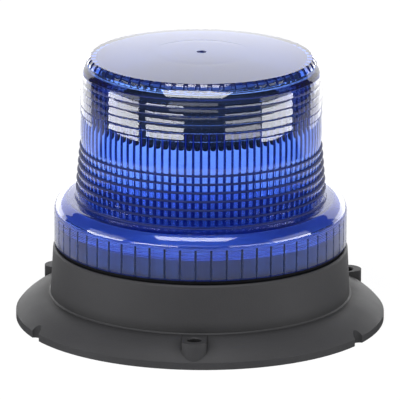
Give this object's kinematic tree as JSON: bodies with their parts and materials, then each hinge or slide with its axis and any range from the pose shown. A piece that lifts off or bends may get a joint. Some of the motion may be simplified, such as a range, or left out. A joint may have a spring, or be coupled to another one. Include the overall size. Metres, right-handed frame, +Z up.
{
  "type": "led beacon",
  "caption": "Round warning beacon with a ringed blue screw-on lens over a white light drum, on a dark grey bolt-down base with a cable gland underneath.",
  "frame": {"origin": "centre of the underside of the foot flange", "axes": "+Z up along the lens axis, -Y towards the front bolt boss, the cable gland on the +Y side"},
  "size_m": [0.165, 0.1649, 0.1219],
  "materials": {
    "housing": "fine moulded grain",
    "lens": "clear blue moulding, polished",
    "seal": "matt black",
    "drum": "opal white, satin",
    "lid": "black, satin",
    "tower": "extruded, satin",
    "driver_board": "green mask",
    "light_board": "white mask",
    "led": "clear dome over phosphor",
    "screw": "zinc plated",
    "terminal": "green moulding",
    "capacitor": "sleeved can",
    "chip": "moulded case",
    "gland": "black nylon"
  },
  "bodies": {
    "base": {"base_housing": "housing", "capacitor_1": "capacitor", "capacitor_2": "capacitor", "choke": "chip", "driver_board": "driver_board", "driver_board_screws": "screw", "driver_chip": "chip", "drum_lid": "lid", "drum_screws": "screw", "gland_body": "gland", "gland_dome_nut": "gland", "gland_lock_nut": "gland", "gland_seal": "seal", "gland_washer": "seal", "led_pair_1": "led", "led_pair_2": "led", "led_pair_3": "led", "led_pair_4": "led", "led_pair_5": "led", "led_pair_6": "led", "lid_screw": "screw", "light_board_1": "light_board", "light_board_2": "light_board", "light_board_3": "light_board", "light_board_4": "light_board", "light_board_5": "light_board", "light_board_6": "light_board", "light_board_screws": "screw", "light_drum": "drum", "light_tower": "tower", "terminal_block": "terminal", "terminal_screws": "screw", "tower_screws": "screw", "transistors": "chip"},
    "seal": {"lens_seal": "seal"},
    "lens": {"lens_dome": "lens"}
  },
  "joints": [
    {"name": "lens_turn", "type": "hinge", "parent": "base", "child": "seal", "pos_m": [0, 0, 0.0332], "axis": [0, 0, 1], "range_deg": [0, 720]},
    {"name": "lens_rise", "type": "slide", "parent": "seal", "child": "lens", "axis": [0, 0, 1], "range_m": [0, 0.0081]}
  ],
  "couplings": [
    {"joint": "lens_rise", "follows": "lens_turn", "m_per_rad": 0.00063662}
  ]
}
